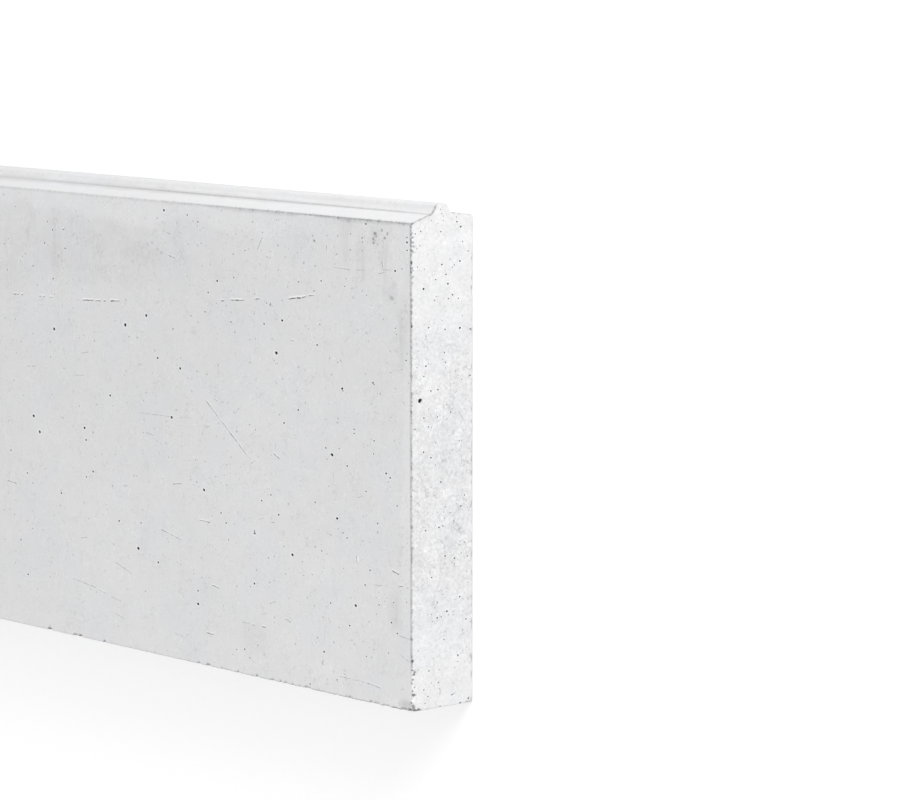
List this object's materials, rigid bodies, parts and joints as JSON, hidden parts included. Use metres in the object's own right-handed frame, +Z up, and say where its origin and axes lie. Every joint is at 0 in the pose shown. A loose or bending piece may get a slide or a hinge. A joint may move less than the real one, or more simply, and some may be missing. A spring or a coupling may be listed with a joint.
{
  "type": "concrete gravel board",
  "caption": "Long flat concrete plank with a tapered tongue between sloping shoulders along one edge, slid between slotted posts under a fence panel.",
  "frame": {"origin": "on the floor under the middle of the board's box, with the board lying on its back", "axes": "+X along the length, +Y up the board's height towards its tongue, +Z up out of the front face"},
  "size_m": [1.83, 0.311, 0.05],
  "materials": {
    "concrete": "matte cast concrete"
  },
  "bodies": {
    "root": {"gravel_board": "concrete"}
  },
  "joints": []
}
